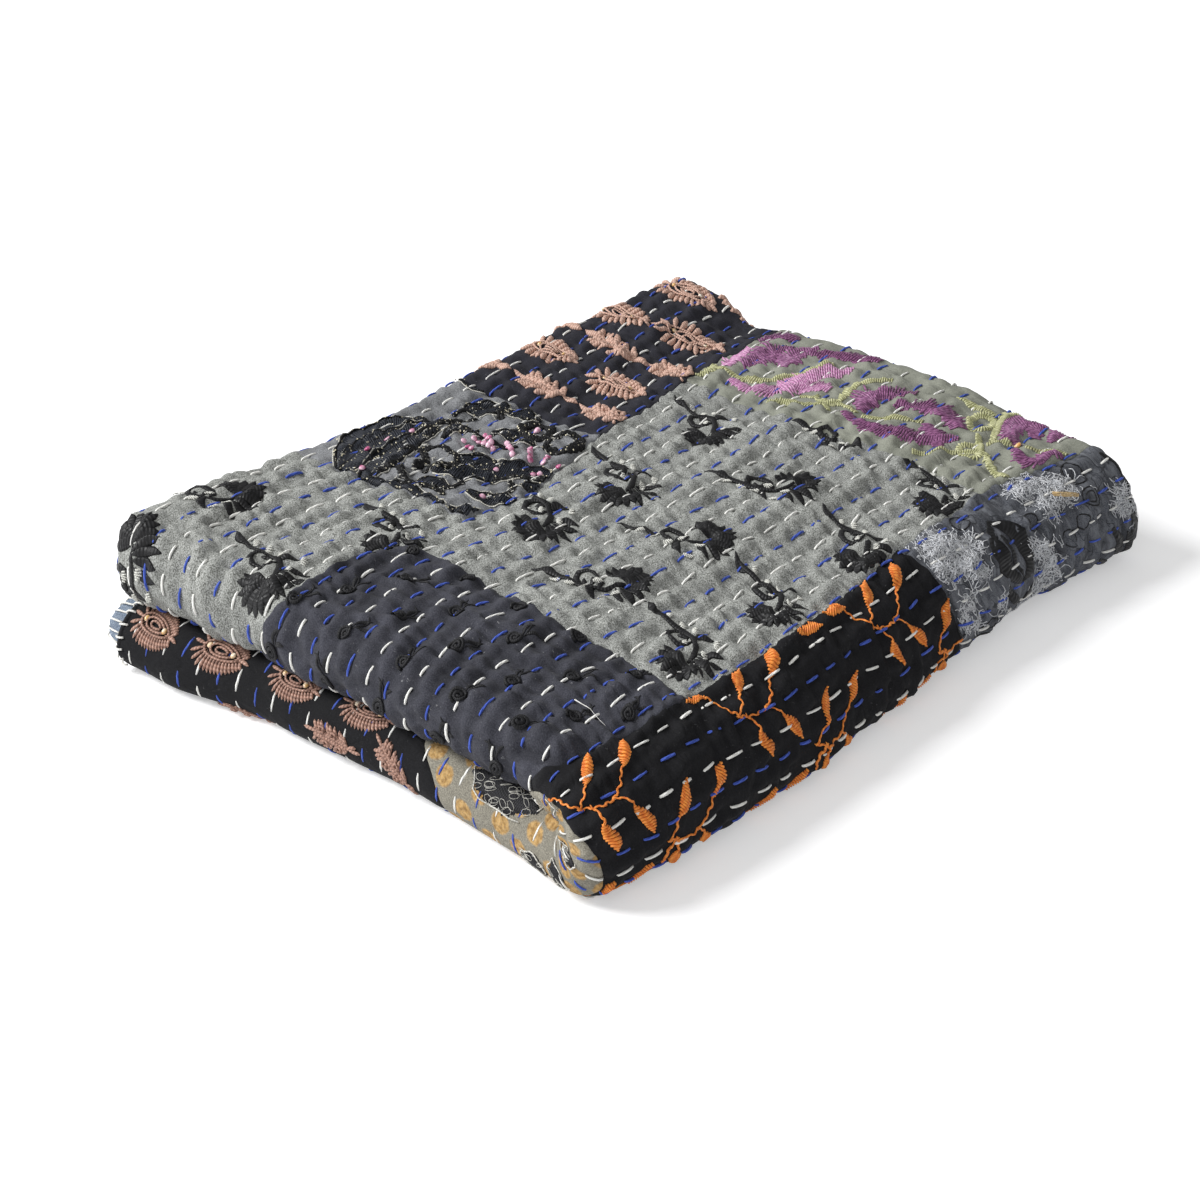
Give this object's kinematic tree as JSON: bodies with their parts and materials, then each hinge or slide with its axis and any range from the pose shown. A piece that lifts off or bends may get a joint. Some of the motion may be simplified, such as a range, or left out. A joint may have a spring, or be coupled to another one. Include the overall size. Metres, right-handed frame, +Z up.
{
  "type": "folded patchwork throw blanket",
  "caption": "Quilted patchwork throw of dark embroidered cotton, folded in half both ways into a soft thick packet that lies flat.",
  "frame": {"origin": "centre of the footprint, on the surface that the throw lies on", "axes": "+X along the throw's long side, from the two rounded folds to the edge with the open hems; +Y from the big fold to the side with the open hem ends; +Z up"},
  "size_m": [0.471, 0.3544, 0.0789],
  "materials": {
    "heather_cotton": "matt grey-green heather cotton, quilted",
    "charcoal_cotton": "matt brushed charcoal cotton, quilted",
    "black_cotton": "matt black cotton, quilted",
    "blue_grey_cotton": "matt blue-grey cotton with fuzzy white stitching",
    "silver_cotton": "soft silver-grey cotton, quilted",
    "olive_cotton": "matt olive-sage cotton, quilted",
    "dotted_cotton": "grey heather cotton with printed ochre spots",
    "denim_cotton": "faded blue-grey cotton, quilted",
    "white_thread": "cream-white cotton thread, slight sheen",
    "blue_thread": "royal blue cotton thread, slight sheen",
    "orange_thread": "orange silky embroidery thread",
    "black_thread": "black silky embroidery thread",
    "tan_thread": "dusty pink-tan embroidery thread",
    "purple_thread": "plum and pink embroidery thread",
    "green_thread": "yellow-green embroidery thread",
    "beads": "small glossy black, gilt and pink beads and sequins"
  },
  "bodies": {
    "root": {"throw_blanket": "heather_cotton"}
  },
  "joints": []
}
